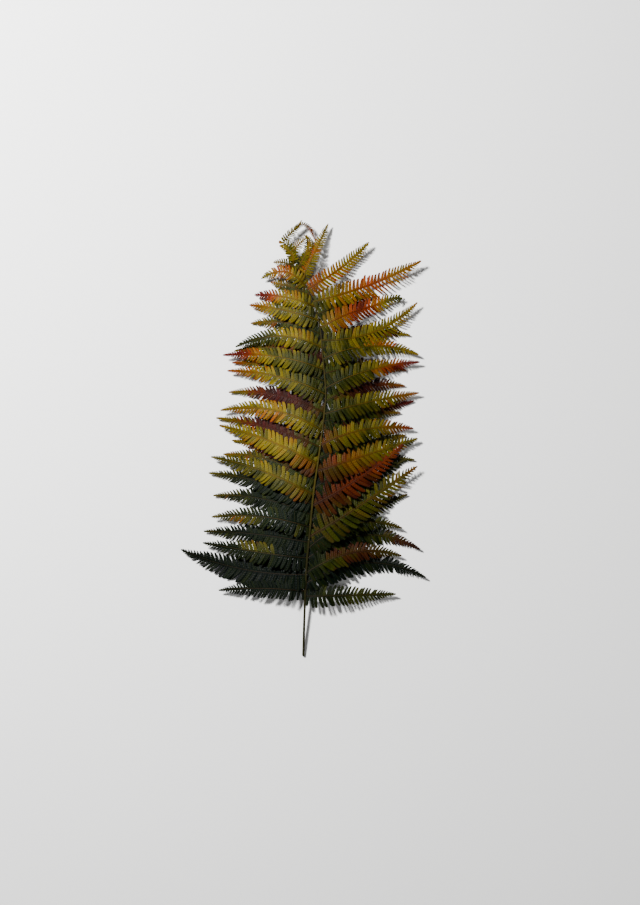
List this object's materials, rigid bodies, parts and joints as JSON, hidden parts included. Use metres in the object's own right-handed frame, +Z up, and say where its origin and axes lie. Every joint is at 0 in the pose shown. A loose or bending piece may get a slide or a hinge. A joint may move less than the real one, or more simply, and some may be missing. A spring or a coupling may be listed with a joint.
{
  "type": "preserved fern frond",
  "caption": "Preserved fern frond lying face up: bare stalk, arched midrib and comb-cut side leaflets with drawn-out tips, up to a curled top.",
  "frame": {"origin": "on the surface that the frond lies on, under the middle of its outline", "axes": "+Y along the midrib from the cut stalk to the tip, +Z up out of the leaf's upper face"},
  "size_m": [0.391, 0.6952, 0.0301],
  "materials": {
    "leaf": "satin"
  },
  "bodies": {
    "root": {"fern_frond": "leaf"}
  },
  "joints": []
}
